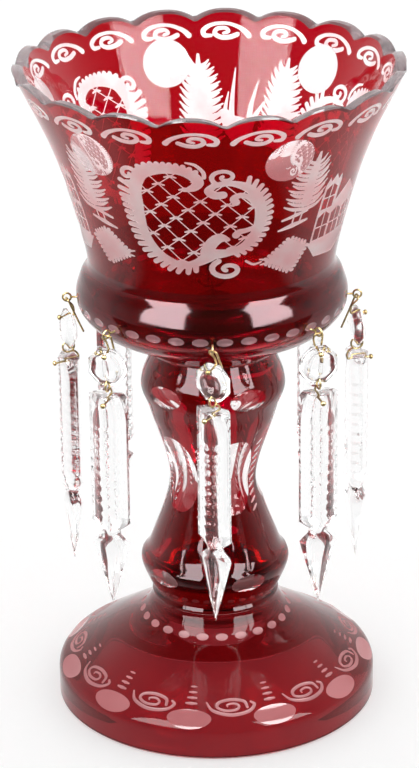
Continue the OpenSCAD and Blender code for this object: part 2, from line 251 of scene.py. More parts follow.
def cartouche():
    """A frame of feathered scrolls round a lattice."""
    left = smooth([
        [-25.6, 18.5, 3], [-26.4, 13, 3], [-25.7, 7, 2.7], [-24.9, 0.3, 2.4], [-23.5, -6.5, 2.1],
        [-20.4, -13.5, 2], [-14.9, -19.5, 1.9], [-7, -23, 1.7], [-0.6, -21.4, 1.9], [4.6, -17.9, 3],
    ])
    arch = smooth([
        [-25.6, 18.5, 3], [-23.5, 23.8, 3.5], [-19.3, 26.6, 3.4], [-12.7, 27.8, 2.7], [-5.7, 27.2, 2.5],
        [-0.6, 24.4, 2.6], [1.5, 20.8, 2.5], [-0.6, 17.8, 1.8], [-4.6, 16.4, 0.8],
    ])
    right = smooth([
        [8.3, 19.1, 1.5], [14.9, 20.1, 1.5], [21.9, 17.4, 2.2], [26.1, 11.9, 2.4], [27.7, 4.7, 2.7],
        [27, -1.9, 2.5], [25.1, -7.4, 2.3], [20, -13.5, 2], [13.7, -16.2, 1.8], [7.2, -17, 2.6],
    ])
    hook = smooth([[8.3, 19.1, 1.5], [5.8, 16.2, 1.9], [8.1, 13.8, 2], [11.7, 13.9, 1.9]])
    inner_top = smooth([
        [16.9, 9.7, 1.9], [16.2, 11.7, 1.6], [19.1, 13.2, 1.4], [22.8, 11.6, 1.4], [25.7, 7.2, 1.4],
    ])
    inner_low = smooth([[16.5, -7.6, 1.7], [17.9, -6.1, 1.4], [20.9, -5.5, 1.2], [25, -4.3, 1.2]])
    knot = smooth([[3.6, -16, 2.6], [6.4, -11, 2.7], [9.7, -8.7, 2.2], [13, -9.6, 1]])
    tail = smooth([[20.5, -21.5, 0.6], [23.7, -23.5, 0.6], [27.2, -22.8, 0.4]])
    tendril = smooth([[-3.1, 31.8, 0.5], [0.8, 30.5, 0.8], [3.9, 26.6, 0.9], [4.2, 23.5, 0.9]])
    curls = [
        spiral(-29.4, 22.8, outer=5.0, inner=0.8, turns=1.3, start=-100, half_w=1.3),
        spiral(12.8, 23.6, outer=4.5, inner=0.7, turns=-1.25, start=-125, half_w=1.1, stretch=1.35),
        spiral(12.4, -25.0, outer=5.0, inner=0.7, turns=1.3, start=120, half_w=1.3, stretch=1.5),
    ]
    bands = (left, arch, right, hook, inner_top, inner_low, knot, tail, tendril, *curls)
    # The feathers stop short of the bands' ends
    plumes = [
        feathers(left[4:82], side=-1, pitch=2.9, first=4.8, last=1.7, half_w=1.4),
        feathers(arch[12:52], side=1, pitch=2.5, first=0.1, last=0.1, half_w=1.4),
        feathers(right[18:80], side=1, pitch=2.5, first=3.1, last=1.0, half_w=1.22),
    ]
    opening = outline(np.vstack([left[:, :2], right[::-1, :2], hook[:, :2], arch[::-1, :2]]))
    return union(*[stroke(path) for path in bands], *plumes, clipped(lattice(), opening))


# A crossing of the lattice, and the steps to the next ones along its two sets of lines
LATTICE_START = np.array([-9.4, 12.5])
LATTICE_STEPS = np.array([[6.1, -6.6], [-5.3, -4.5]])
LATTICE_REACH = 34.0
LATTICE_COUNT = 10
LATTICE_LINE = 0.26


def lattice():
    """Crossing slanted lines with a short bar on each crossing."""
    steps = range(-LATTICE_COUNT, LATTICE_COUNT + 1)
    shapes = []
    for i in steps:
        for step, other in (LATTICE_STEPS, LATTICE_STEPS[::-1]):
            ends = LATTICE_START + i * other + np.outer([steps[0], steps[-1]], step)
            shapes.append(stroke([[*end, LATTICE_LINE] for end in ends]))
        for j in steps:
            x, y = LATTICE_START + (i, j) @ LATTICE_STEPS
            if math.hypot(x, y) < LATTICE_REACH:
                bar = [[x - 2.5, y - 0.5, 0.4], [x, y + 0.2, 0.75], [x + 2.5, y - 0.5, 0.4]]
                shapes.append(stroke(bar))
    return union(*shapes)


def pine(height, half_w, rows):
    """A tall tree of feathery branches that keeps its width almost to the top."""
    shapes = []
    for i in range(rows):
        share = i / rows
        up = height * share
        # Every other branch is shorter, and the crown draws in
        reach = half_w * (1 - 0.1 * share - 0.62 * share**5) * (0.88 if i % 2 else 1.0)
        for length, rise in ((-reach, 1.2), (0.85 * reach, 2.6)):
            branch = [[0, up - 2.0, 1.0], [length * 0.6, up - 0.8, 0.85], [length, up + rise, 0.35]]
            shapes.append(stroke(smooth(branch, 4)))
    trunk = [[0, 2, half_w * 0.24], [0, height * 0.7, half_w * 0.2], [0, height + 2, half_w * 0.06]]
    return union(stroke(trunk), *shapes)


def bush(half_w, half_h):
    """A leaning diamond of leaves with a ragged edge and two blades at its corner."""
    side_up = -0.2 * half_h
    corners = [
        (-half_w, side_up), (-0.1 * half_w, 0.85 * half_h),
        (0.75 * half_w, 0.27 * half_h), (0.14 * half_w, -half_h),
    ]
    edge = [[x, y, 0.6] for x, y in corners + corners[:1]]
    blades = [
        stroke([[2 - half_w, side_up + 0.6, 0.8], [-half_w - 2.6, side_up + 1.6, 0.35]]),
        stroke([[2 - half_w, side_up - 0.6, 0.8], [-half_w - 1.8, side_up - 1.2, 0.35]]),
    ]
    leaves = feathers(edge, side=1, pitch=2.1, first=0.4, last=0.4, half_w=1.0)
    return union(outline(corners), leaves, *blades)


def ground_lines():
    """Two lines of ground with a pair of posts between them."""
    return union(
        stroke([[-7.5, -1.2, 0.6], [-1, 0.4, 1.0], [5, 1.4, 0.5]]),
        stroke([[-8.5, -6.2, 0.5], [-2, -4.6, 1.3], [5.5, -3.2, 0.6]]),
        stroke([[-2.4, -4.4, 0.4], [-1.6, 2, 0.4]]),
        stroke([[1.4, -3.8, 0.4], [2.6, 2, 0.4]]),
    )


def window(left, low, width, height):
    """Four panes under a pointed head, as the part of a wall that stays red."""
    bar_w = 0.35
    right = left + width
    high = low + height
    middle = left + width / 2
    shoulder_up = high - width * 0.3
    cross_up = low + height * 0.45
    pane = outline([(left, low), (right, low), (right, shoulder_up), (middle, high), (left, shoulder_up)])
    bars = union(
        stroke([[middle, low, bar_w], [middle, high, bar_w]]),
        stroke([[left, cross_up, bar_w], [right, cross_up, bar_w]]),
    )
    return without(pane, bars)


def castle():
    """A tower and a gabled house, both with tall windows."""
    tower = outline([
        (-15, 0), (-4, 0), (-4, 30), (-5.5, 33.5), (-7, 31),
        (-9.5, 34.5), (-12, 31), (-13.5, 33.5), (-15, 30),
    ])
    house = outline([(-4, 0), (15, 0), (15, 17), (16.5, 18), (5.5, 27), (-4, 19.5)])
    windows = union(
        window(-13.6, 17.0, 7.6, 12.5),
        *[window(left, 2.0, 8.0, 13.5) for left in (-13.8, -4.2, 5.4)],
    )
    hill = outline([(-17, 1), (-10, -7), (6, -9), (18, -3), (18, 1)])
    return union(without(union(tower, house), windows), hill)


def grass_and_bird():
    """A resting bird in a tuft of long blades."""
    blades = [
        smooth([[-3, -8, 1.4], [-6, 2, 1.2], [-12, 11, 0.3]], 6),
        smooth([[-3, -8, 1.5], [-4, 6, 1.2], [-7, 19, 0.3]], 6),
        smooth([[-1, -8, 1.4], [-9, -3, 1.2], [-15, 4, 0.3]], 6),
        smooth([[3, -8, 1.5], [5, 5, 1.3], [4.5, 24, 0.3]], 6),
        smooth([[4, -6, 1.4], [8, 2, 1.2], [7, 13, 0.3]], 6),
    ]
    body = smooth([[-5, -5, 2.4], [0, -3.5, 5.0], [5, -1, 3.8], [8.5, 3.5, 2.0], [11.5, 3.0, 0.5]], 6)
    return union(stroke(body), *[stroke(path) for path in blades])


def dash(half_l, half_w, lean=0.0):
    """A short cut that thins towards both ends."""
    return stroke([[-half_l, -lean, half_w * 0.6], [0, 0, half_w], [half_l, lean, half_w * 0.6]])


# A turned glass wall and what is cut into it
class Wall:
    """The outer profile of a turned piece, measured along its length."""

    def __init__(self, profile):
        self.profile = np.asarray(profile, float)
        self.along = lengths_along(self.profile)
        self.length = self.along[-1]
        self.etched = []
        self.cut = []

    def radius(self, s):
        return np.interp(s, self.along, self.profile[:, 0])

    def height(self, s):
        return np.interp(s, self.along, self.profile[:, 1])

    def at_height(self, z):
        return float(np.interp(z, self.profile[:, 1], self.along))

    def normal(self, s):
        """Outward direction in the profile's plane, as radius and height."""
        step = 0.4
        dr = self.radius(s + step) - self.radius(s - step)
        dz = self.height(s + step) - self.height(s - step)
        size = np.hypot(dr, dz)
        return dz / size, -dr / size

    def etch(self, shape, angle, s, reach):
        self.etched.append((shape, math.radians(angle), s, reach))

    def grind(self, half_w, half_h, depth, angle, s, power=2.0):
        """A hollow oval, ground through the stain and polished."""
        self.cut.append((half_w, half_h, depth, math.radians(angle), s, power))

    def local(self, theta, s, angle, s0):
        turn = (theta - angle + math.pi) % FULL_TURN - math.pi
        return turn * self.radius(s), s - s0

    def etch_distance(self, theta, s):
        result = np.full(theta.shape, MARGIN)
        for shape, angle, s0, reach in self.etched:
            a, b = self.local(theta, s, angle, s0)
            near = (np.abs(a) < reach) & (np.abs(b) < reach)
            result[near] = np.minimum(result[near], shape(a[near], b[near]))
        return result

    def cut_distance(self, theta, s):
        result = np.full(theta.shape, MARGIN)
        for half_w, half_h, _, angle, s0, power in self.cut:
            a, b = self.local(theta, s, angle, s0)
            result = np.minimum(result, oval(half_w, half_h, power)(a, b))
        return result

    def cut_depth(self, theta, s):
        result = np.zeros(theta.shape)
        for half_w, half_h, depth, angle, s0, power in self.cut:
            a, b = self.local(theta, s, angle, s0)
            q = (np.abs(a / half_w) ** power + np.abs(b / half_h) ** power) ** (2 / power)
            result = np.maximum(result, depth * np.clip(1 - q, 0, 1))
        return result


# Meshes of triangles that are cut along the ornament's edges
REFINE_LEVELS = 2
# An edge is halved if the ornament's edge is nearer than this share of its length
REFINE_REACH = 0.9
# The smallest share of an edge that a cut leaves
SLIVER = 0.06


def edge_ids(faces):
    """The triangles' three sides as rows of vertex pairs, and the number of each side's row."""
    sides = np.stack([faces, np.roll(faces, -1, axis=1)], axis=2)
    ordered = np.sort(sides.reshape(-1, 2), axis=1)
    unique, number = np.unique(ordered, axis=0, return_inverse=True)
    return unique, number.reshape(-1, 3)


def add_on_edges(theta, s, edges, number, marked, share):
    """Adds a point on each marked edge, a share of the way along it.

    Gives the longer theta and s, and for each side of each triangle the number of its new point or -1.
    """
    middle = np.full(len(edges), -1)
    middle[marked] = len(theta) + np.arange(marked.sum())
    start, end = edges[marked].T
    theta = np.concatenate([theta, theta[start] + share * (theta[end] - theta[start])])
    s = np.concatenate([s, s[start] + share * (s[end] - s[start])])
    return theta, s, middle[number]


def triangles(*corners):
    """Triangles as rows, from sets of first, second and third corners."""
    return [np.stack(three, -1).reshape(-1, 3) for three in corners]


def refine(theta, s, faces, wanted):
    """Halves the edges that are wanted, and keeps the mesh joined."""
    edges, number = edge_ids(faces)
    theta, s, mids = add_on_edges(theta, s, edges, number, wanted(edges), 0.5)
    count = (mids >= 0).sum(1)
    parts = [faces[count == 0]]
    for turn in range(3):
        f = np.roll(faces, -turn, axis=1)
        m = np.roll(mids, -turn, axis=1)
        one = (count == 1) & (m[:, 0] >= 0)
        a, b, c = f[one].T
        ab = m[one, 0]
        parts += triangles((a, ab, c), (ab, b, c))
        two = (count == 2) & (m[:, 2] < 0)
        a, b, c = f[two].T
        ab, bc = m[two, 0], m[two, 1]
        parts += triangles((ab, b, bc), (a, ab, bc), (a, bc, c))
    three = count == 3
    a, b, c = faces[three].T
    ab, bc, ca = mids[three].T
    parts += triangles((a, ab, ca), (ab, b, bc), (ca, bc, c), (ab, bc, ca))
    return theta, s, np.vstack(parts)


def split(theta, s, faces, value):
    """Cuts the triangles where a value changes sign, but not close to their corners."""
    tiny = 1e-4
    value = np.where(np.abs(value) < tiny, tiny, value)
    edges, number = edge_ids(faces)
    low, high = value[edges].T
    crossed = (low < 0) != (high < 0)
    share = np.clip((low / (low - high + (low == high)))[crossed], SLIVER, 1 - SLIVER)
    theta, s, mids = add_on_edges(theta, s, edges, number, crossed, share)
    count = (mids >= 0).sum(1)
    parts = [faces[count == 0]]
    for turn in range(3):
        f = np.roll(faces, -turn, axis=1)
        m = np.roll(mids, -turn, axis=1)
        lone = (count == 2) & (m[:, 1] < 0)
        a, b, c = f[lone].T
        ab, ca = m[lone, 0], m[lone, 2]
        parts += triangles((a, ab, ca), (ab, b, c), (ab, c, ca))
    return theta, s, np.vstack(parts)


# The numbers of the surfaces, in the order of a piece's materials; BULGE and BULGE_CUT are the swelling's
# ruby and cuts, with painted highlight and painted shade
RUBY, ETCHED, POLISHED, EDGE, CLEAR, BULGE, BULGE_CUT = range(7)
ETCH_DEPTH = 0.22
# How far inside its edge the etching reaches its depth
ETCH_SLOPE = 0.3
# Height of the band below a scalloped rim that takes up the scallops
TOP_BAND = 14.0


def round_points(radius, angle, height):
    """Points about the upright axis, at angles from the front."""
    height = np.broadcast_to(height, angle.shape)
    return np.column_stack([radius * np.sin(angle), -radius * np.cos(angle), height])


def grid_faces(index, flipped=False):
    """Triangles between the rows of a grid of vertex numbers."""
    a, b, c, d = index[:-1, :-1], index[:-1, 1:], index[1:, 1:], index[1:, :-1]
    halves = ((a, c, b), (a, d, c)) if flipped else ((a, b, c), (a, c, d))
    return np.concatenate(triangles(*halves))


def drawn_patch(wall, columns, rows, top_drop):
    """The outer wall as triangles in theta and s, with a surface number for each."""
    angles = np.linspace(-math.pi, math.pi, columns + 1)
    grid_theta = np.tile(angles, (len(rows), 1))
    share = np.clip((rows - rows[-1] + TOP_BAND) / TOP_BAND, 0, 1)
    grid_s = rows[:, None] - share[:, None] * top_drop(angles)[None, :]
    theta, s = grid_theta.ravel(), grid_s.ravel()
    index = np.arange(theta.size).reshape(grid_theta.shape)
    a, b, c, d = index[:-1, :-1], index[:-1, 1:], index[1:, 1:], index[1:, :-1]
    # The squares are halved one way and the other by turns
    even = (np.indices(a.shape).sum(0) % 2 == 0).reshape(-1, 1)
    halves = zip(triangles((a, b, c), (a, c, d)), triangles((a, b, d), (b, c, d)))
    faces = np.concatenate([np.where(even, one_way, other_way) for one_way, other_way in halves])

    for _ in range(REFINE_LEVELS):
        near_etch = np.abs(wall.etch_distance(theta, s))
        near_cut = np.abs(wall.cut_distance(theta, s))

        def wanted(edges):
            across = np.diff(theta[edges])[:, 0] * wall.radius(s[edges[:, 0]])
            run = np.hypot(across, np.diff(s[edges])[:, 0])
            return np.minimum(near_etch, near_cut)[edges].min(1) < REFINE_REACH * run

        theta, s, faces = refine(theta, s, faces, wanted)

    theta, s, faces = split(theta, s, faces, wall.cut_distance(theta, s))
    theta, s, faces = split(theta, s, faces, wall.etch_distance(theta, s))
    centre_theta, centre_s = theta[faces].mean(1), s[faces].mean(1)
    surface = np.full(len(faces), RUBY)
    surface[wall.etch_distance(centre_theta, centre_s) < 0] = ETCHED
    surface[wall.cut_distance(centre_theta, centre_s) < 0] = POLISHED
    return theta, s, faces, surface, index[0], index[-1], angles


def no_drop(angles):
    return np.zeros(angles.shape)


def turned_piece(name, wall, columns, rows, before, after, top_drop=no_drop, edge_strips=0):
    """A closed turned piece: rings before the outer wall, the drawn wall, then rings after it.

    Each ring is a radius and a height, or a function of the angles that gives them. The first strips
    after the wall are the piece's edge, which takes a grey of painted shade.
    """
    theta, s, faces, surface, first_row, last_row, angles = drawn_patch(wall, columns, rows, top_drop)
    frosting = np.clip(-wall.etch_distance(theta, s) / ETCH_SLOPE, 0, 1)
    frosting *= wall.cut_distance(theta, s) > 0
    depth = wall.cut_depth(theta, s) + ETCH_DEPTH * frosting
    normal_r, normal_z = wall.normal(s)
    points = [round_points(wall.radius(s) - depth * normal_r, theta, wall.height(s) - depth * normal_z)]
    total = len(theta)
    all_faces = [faces]
    surfaces = [surface]

    def add_ring(ring):
        nonlocal total
        r, z = ring(angles) if callable(ring) else ring
        points.append(round_points(r, angles, z))
        row = total + np.arange(len(angles))
        total += len(angles)
        return row

    def add_strip(lower, upper, kind=CLEAR):
        strip = grid_faces(np.stack([lower, upper]))
        all_faces.append(strip)
        surfaces.append(np.full(len(strip), kind))

    row = None
    for ring in before:
        new = add_ring(ring)
        if row is not None:
            add_strip(row, new)
        row = new
    add_strip(row, first_row)
    row = last_row
    for i, ring in enumerate(after):
        new = add_ring(ring)
        add_strip(row, new, EDGE if i < edge_strips else CLEAR)
        row = new
    return glass_object(name, np.vstack(points) * MM, np.vstack(all_faces), np.concatenate(surfaces))


# Corners nearer than this, in metres, are joined
WELD = 2e-6


def mesh_from(name, points, faces):
    """A mesh of triangles, with touching corners joined and empty triangles left out."""
    keys = np.round(points / WELD).astype(np.int64)
    _, kept, number = np.unique(keys, axis=0, return_index=True, return_inverse=True)
    faces = number.reshape(-1)[faces]
    solid = (faces[:, 0] != faces[:, 1]) & (faces[:, 1] != faces[:, 2]) & (faces[:, 2] != faces[:, 0])
    mesh = bpy.data.meshes.new(name)
    mesh.vertices.add(len(kept))
    mesh.vertices.foreach_set("co", points[kept].astype(np.float32).ravel())
    faces = faces[solid]
    mesh.loops.add(faces.size)
    mesh.loops.foreach_set("vertex_index", faces.ravel().astype(np.int32))
    mesh.polygons.add(len(faces))
    mesh.polygons.foreach_set("loop_start", np.arange(0, faces.size, 3, dtype=np.int32))
    mesh.update(calc_edges=True)
    return mesh, solid


def linked(name, data):
    """A new object in the scene."""
    piece = bpy.data.objects.new(name, data)
    bpy.context.scene.collection.objects.link(piece)
    return piece


SHARP_ANGLE = math.radians(28)


def glass_object(name, points, faces, surfaces):
    mesh, solid = mesh_from(name, points, faces)
    surfaces = surfaces[solid].astype(np.int32)
    mesh.polygons.foreach_set("material_index", surfaces)
    mesh.polygons.foreach_set("use_smooth", np.ones(len(surfaces), bool))
    mesh.set_sharp_from_angle(angle=SHARP_ANGLE)
    mark_surface_edges(mesh, surfaces)
    return linked(name, mesh)


def mark_surface_edges(mesh, surfaces):
    """Keeps the ornament's edges crisp."""
    side_edges = np.zeros(len(mesh.loops), np.int32)
    mesh.loops.foreach_get("edge_index", side_edges)
    owner = np.repeat(surfaces, 3)
    lowest = np.full(len(mesh.edges), CLEAR)
    highest = np.zeros(len(mesh.edges), int)
    np.minimum.at(lowest, side_edges, owner)
    np.maximum.at(highest, side_edges, owner)
    sharp = np.zeros(len(mesh.edges), bool)
    mesh.attributes["sharp_edge"].data.foreach_get("value", sharp)
    mesh.attributes["sharp_edge"].data.foreach_set("value", sharp | (lowest != highest))


# Materials
class Graph:
    """The nodes of a material or a world."""

    def __init__(self, owner):
        owner.use_nodes = True
        self.nodes = owner.node_tree.nodes
        self.links = owner.node_tree.links

    def feed(self, node, values):
        """Gives a node's inputs plain values or other nodes' sockets."""
        for key, value in values.items():
            if isinstance(value, bpy.types.NodeSocket):
                self.links.new(value, node.inputs[key])
            else:
                node.inputs[key].default_value = value
        return node

    def add(self, kind, values):
        return self.feed(self.nodes.new(kind), values)

    def noise(self, scale, detail=3.0):
        place = self.nodes.new("ShaderNodeTexCoord").outputs["Object"]
        values = {"Vector": place, "Scale": scale, "Detail": detail}
        return self.add("ShaderNodeTexNoise", values).outputs["Fac"]

    def ramp(self, factor, low, high, start=0.3, end=0.7):
        """A colour that goes from low to high between two factors."""
        node = self.add("ShaderNodeValToRGB", {"Fac": factor})
        first, last = node.color_ramp.elements
        first.position, first.color = start, (*low, 1)
        last.position, last.color = end, (*high, 1)
        return node.outputs["Color"]

    def span(self, value, low, high, start=0.0, end=1.0):
        """A number that goes from low to high between two values."""
        values = {"Value": value, "From Min": start, "From Max": end, "To Min": low, "To Max": high}
        return self.add("ShaderNodeMapRange", values).outputs["Result"]

    def bump(self, height, strength, distance):
        values = {"Height": height, "Strength": strength, "Distance": distance}
        return self.add("ShaderNodeBump", values).outputs["Normal"]

    def combine(self, operation, first, second):
        node = self.add("ShaderNodeMath", {0: first, 1: second})
        node.operation = operation
        return node.outputs[0]


def new_material(name):
    material = bpy.data.materials.new(name)
    graph = Graph(material)
    return material, graph, graph.nodes["Principled BSDF"]


GLASS_IOR = 1.5


def glass(name, low, high, rough_low, rough_high, see_through=1.0, painted_reflection=(1, 1, 1)):
    """Polished glass, a little uneven in tint and polish; the last argument scales and tints what it
    mirrors, a painted strength of reflection set part by part, where less than white is painted shade in
    the reflections.
    """
    material, graph, shader = new_material(name)
    tint = graph.noise(22.0)
    polish = graph.noise(60.0)
    ripple = graph.noise(14.0, 1.0)
    graph.feed(shader, {
        "Specular Tint": (*painted_reflection, 1),
        "Transmission Weight": see_through,
        "IOR": GLASS_IOR,
        "Base Color": graph.ramp(tint, low, high),
        "Roughness": graph.span(polish, rough_low, rough_high),
        "Normal": graph.bump(ripple, 0.08, 0.002),
    })
    return material


def etched_glass(name, low, high, see_through):
    """Wheel-cut frosting: random clouds from pink to near white, a painted shading in place of the light
    and shade on the cut relief, with fine grain and short tool marks.
    """
    material, graph, shader = new_material(name)
    painted_shading_clouds = graph.noise(45.0, 8.0)
    grain = graph.noise(300.0)
    marks = graph.noise(900.0, 4.0)
    graph.feed(shader, {
        "Transmission Weight": see_through,
        "IOR": GLASS_IOR,
        "Base Color": graph.ramp(painted_shading_clouds, low, high, 0.4, 0.62),
        "Roughness": graph.span(grain, 0.35, 0.6),
        "Normal": graph.bump(marks, 0.35, 0.0004),
    })
    return material


def brass():
    """Drawn brass wire with dull patches."""
    material, graph, shader = new_material("brass_wire")
    patches = graph.noise(400.0)
    drawn = graph.noise(1500.0)
    graph.feed(shader, {
        "Metallic": 1.0,
        "Base Color": graph.ramp(patches, (0.30, 0.21, 0.08), (0.74, 0.59, 0.30)),
        "Roughness": graph.span(patches, 0.42, 0.2),
        "Normal": graph.bump(drawn, 0.2, 0.0002),
    })
    return material


CRYSTAL = ((0.97, 0.98, 0.98), (0.99, 0.99, 0.99), 0.0, 0.02)
clear = glass("clear_glass", *CRYSTAL)
# The bowl's wall and its lining mirror less than plain glass: painted shade in their reflections, which
# keeps the white surround off the red
bowl_ruby = glass("bowl_ruby", (0.16, 0.0, 0.0), (0.205, 0.0, 0.0001), 0.0, 0.02, painted_reflection=(0.32, 0.26, 0.27))
bowl_lining = glass("bowl_lining", *CRYSTAL, painted_reflection=(0.18, 0.18, 0.18))
# On the swelling below the groove, the cut ovals are darker and pinker than the lens, and the ruby is
# darker than the wall above: painted shade. That ruby also mirrors at full, pink-tinted strength: a
# painted highlight.
bulge_cut_painted_shade = glass("bulge_cut_painted_shade", (0.42, 0.24, 0.26), (0.54, 0.34, 0.36), 0.0, 0.04, 0.5)
bulge_ruby_painted_light = glass("bulge_ruby_painted_light", (0.06, 0.0, 0.0), (0.09, 0.0, 0.0001), 0.08, 0.11, painted_reflection=(1.0, 0.7, 0.74))
# The stem and the foot mirror less than plain glass too: painted shade in their reflections
stem_ruby = glass("stem_ruby", (0.08, 0.0, 0.0), (0.12, 0.0, 0.0001), 0.0, 0.02, painted_reflection=(0.6, 0.5, 0.52))
foot_ruby = glass(
    "foot_ruby", (0.13, 0.001, 0.002), (0.17, 0.002, 0.003), 0.02, 0.05, 0.75, painted_reflection=(0.33, 0.3, 0.3),
)
polished = glass("polished_cut", (0.95, 0.92, 0.92), (0.99, 0.97, 0.97), 0.0, 0.03)
lens = glass("polished_lens", (0.93, 0.86, 0.87), (0.98, 0.94, 0.95), 0.0, 0.04, 0.75)
foot_polished = glass("foot_cut", (0.50, 0.15, 0.16), (0.62, 0.22, 0.23), 0.04, 0.10, 0.15)
# The rim's edge is a dull grey glass; the grey is painted shade, in place of the dark things seen through
# the rim
edge_painted_shade = glass("edge_painted_shade", (0.17, 0.15, 0.16), (0.27, 0.25, 0.26), 0.08, 0.2, 0.55)
etched = etched_glass("etched_glass", (0.98, 0.66, 0.67), (1.0, 0.97, 0.96), 0.5)
foot_etched = etched_glass("foot_etching", (0.50, 0.17, 0.18), (0.62, 0.24, 0.25), 0.15)
brass_wire = brass()


def dress(piece, ruby, frosting, cut, lining, *replaced):
    """Gives a ruby piece its materials, in the order of the surfaces' numbers."""
    for material in (ruby, frosting, cut, edge_painted_shade, lining):
        piece.data.materials.append(material)
    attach(piece, "root")
    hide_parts(*replaced)


# Bowl
BULGE_R = 60.9
BULGE_Z = BOWL_LOW + 25
GROOVE_R = 55.5
GROOVE_Z = BULGE_Z + 17
FLARE = RIM_R - GROOVE_R
FLARE_H = BOWL_TOP - GROOVE_Z
BOWL_BASE_R = 29.0
BOWL_FLOOR = 6.5
RIM_BEVEL = 0.9

bowl_profile = smooth([
    [BOWL_BASE_R, BOWL_LOW + SEAT_GAP],
    [BULGE_R - 11, BULGE_Z - 15.8],
    [BULGE_R - 2.2, BULGE_Z - 8],
    [BULGE_R, BULGE_Z],
    [BULGE_R - 2.4, BULGE_Z + 8.5],
    [GROOVE_R, GROOVE_Z],
    [GROOVE_R + FLARE * 0.24, GROOVE_Z + FLARE_H * 0.35],
    [GROOVE_R + FLARE * 0.52, GROOVE_Z + FLARE_H * 0.64],
    [RIM_R, BOWL_TOP],
], 16)
bowl_wall = Wall(bowl_profile)

SCALLOPS = 18
SCALLOP_DEPTH = 4.2
SCALLOP_TURN = math.radians(4.5)
SCALLOP_HALF_W = (RIM_R - WALL - 3) * math.tan(math.pi / SCALLOPS) * 0.98
SCALLOP_R = (SCALLOP_HALF_W**2 + SCALLOP_DEPTH**2) / (2 * SCALLOP_DEPTH)


def scallop_drop(angles):
    """How far the rim lies below the tips of the scallops."""
    pitch = FULL_TURN / SCALLOPS
    from_notch = np.abs((angles - SCALLOP_TURN + pitch / 2) % pitch - pitch / 2)
    aside = np.minimum(SCALLOP_HALF_W, from_notch * (RIM_R - WALL / 2))
    return SCALLOP_R - np.sqrt(SCALLOP_R**2 - (SCALLOP_HALF_W - aside) ** 2)


RIM_SCROLL_DROP = 9.8
# Half width, half height and depth of a cut
LENS_CUT = (11.4, 11.2, 1.1)
BULGE_OVAL = (3.6, 1.9, 0.5)
# Angle and distance below the rim
LENS_PLACES = ((-42, 23.5), (26.5, 23.5), (82, 22), (138, 21.7), (195.5, 22.7), (262, 22))
CARTOUCHE_ANGLES = (-5.5, 114.5, 234.5)
CARTOUCHE_DROP = 51.0
BULGE_OVALS = 36
EYE_Z = (low_mm("eye_pin_1").z + high_mm("eye_pin_1").z) / 2


def decorate_bowl(wall):
    """Scrolls, lenses, cartouches and a landscape on the flare, and a row of ovals on the swelling."""
    scroll = rim_scroll()
    for i in range(SCALLOPS):
        angle = math.degrees(SCALLOP_TURN) + (i + 0.5) * 360 / SCALLOPS
        wall.etch(scroll, angle, wall.at_height(BOWL_TOP - RIM_SCROLL_DROP), reach=15)
    for angle, drop in LENS_PLACES:
        wall.grind(*LENS_CUT, angle, wall.at_height(BOWL_TOP - drop))
    frame_motif = cartouche()
    hedge = bush(12, 9)
    lines = ground_lines()
    house = castle()
    far_tree = pine(35, 11.5, 21)
    # Shape, angle, distance of its origin below the rim, and how far it reaches from there
    for shape, angle, drop, reach in (
        *[(frame_motif, angle, CARTOUCHE_DROP, 44) for angle in CARTOUCHE_ANGLES],
        (pine(26, 11.5, 12), 38, 48.7, 44), (hedge, 34.5, 71.5, 20), (lines, 35, 53.0, 14),
        (house, 59.5, 70.5, 44),
        (mirrored(pine(29, 11.5, 13)), -50.5, 50.5, 44), (mirrored(hedge), -47.5, 69.0, 20),
        (mirrored(lines), -48, 53.5, 14), (mirrored(house), -75, 70.0, 44),
        (far_tree, 184, 54.5, 44), (far_tree, 151, 54.5, 44), (grass_and_bird(), 167, 48.0, 30),
    ):
        wall.etch(shape, angle, wall.at_height(BOWL_TOP - drop), reach)
    for i in range(BULGE_OVALS):
        wall.grind(*BULGE_OVAL, (i + 0.5) * 360 / BULGE_OVALS, wall.at_height(EYE_Z + 1.2))


# Depth below the rim in which the inside follows the scallops
LIP = 12.0
BOWL_COLUMNS = 288


def build_bowl():
    decorate_bowl(bowl_wall)
    base_end, bulge_end, groove_end = (
        bowl_wall.at_height(z) for z in (BULGE_Z - 10, BULGE_Z + 3, GROOVE_Z - 1)
    )
    # Rows lie closer where there is more ornament
    rows = np.concatenate([
        np.arange(0, base_end, 2.2), np.arange(base_end, bulge_end, 1.4),
        np.arange(bulge_end, groove_end, 2.0), np.linspace(groove_end, bowl_wall.length - RIM_BEVEL, 64),
    ])

    def rim_ring(radius):
        return lambda angles: (radius, BOWL_TOP - scallop_drop(angles))

    def lip_ring(share):
        def ring(angles):
            high_z = BOWL_TOP - RIM_BEVEL - scallop_drop(angles)
            z = high_z + share * (BOWL_TOP - LIP - high_z)
            return np.interp(z, bowl_profile[:, 1], bowl_profile[:, 0]) - WALL, z

        return ring

    inner_wall = [[r - WALL, z] for r, z in bowl_profile[::-1] if BULGE_Z <= z < BOWL_TOP - LIP]
    depth = BULGE_Z - BOWL_LOW - BOWL_FLOOR
    floor = [
        [(BULGE_R - WALL) * math.cos(a), BULGE_Z - depth * math.sin(a)]
        for a in np.radians(np.linspace(5, 90, 18))
    ]
    before = [[0, BOWL_LOW + SEAT_GAP]]
    rim = [rim_ring(RIM_R - RIM_BEVEL), rim_ring(RIM_R - WALL + RIM_BEVEL)]
    after = rim + [lip_ring(share) for share in (0, 0.3, 0.65)] + inner_wall + floor
    bowl = turned_piece(
        "ruby_bowl", bowl_wall, BOWL_COLUMNS, rows, before, after, scallop_drop, edge_strips=len(rim) + 1,
    )
    dress(bowl, bowl_ruby, etched, lens, bowl_lining, "bowl")
    bowl.data.materials.append(bulge_ruby_painted_light)
    bowl.data.materials.append(bulge_cut_painted_shade)
    # Below the groove the ruby and the cuts take the swelling's materials, with painted highlight and
    # painted shade
    below_groove = {RUBY: BULGE, POLISHED: BULGE_CUT}
    for face in bowl.data.polygons:
        if face.center.z < GROOVE_Z * MM:
            face.material_index = below_groove.get(face.material_index, face.material_index)


build_bowl()


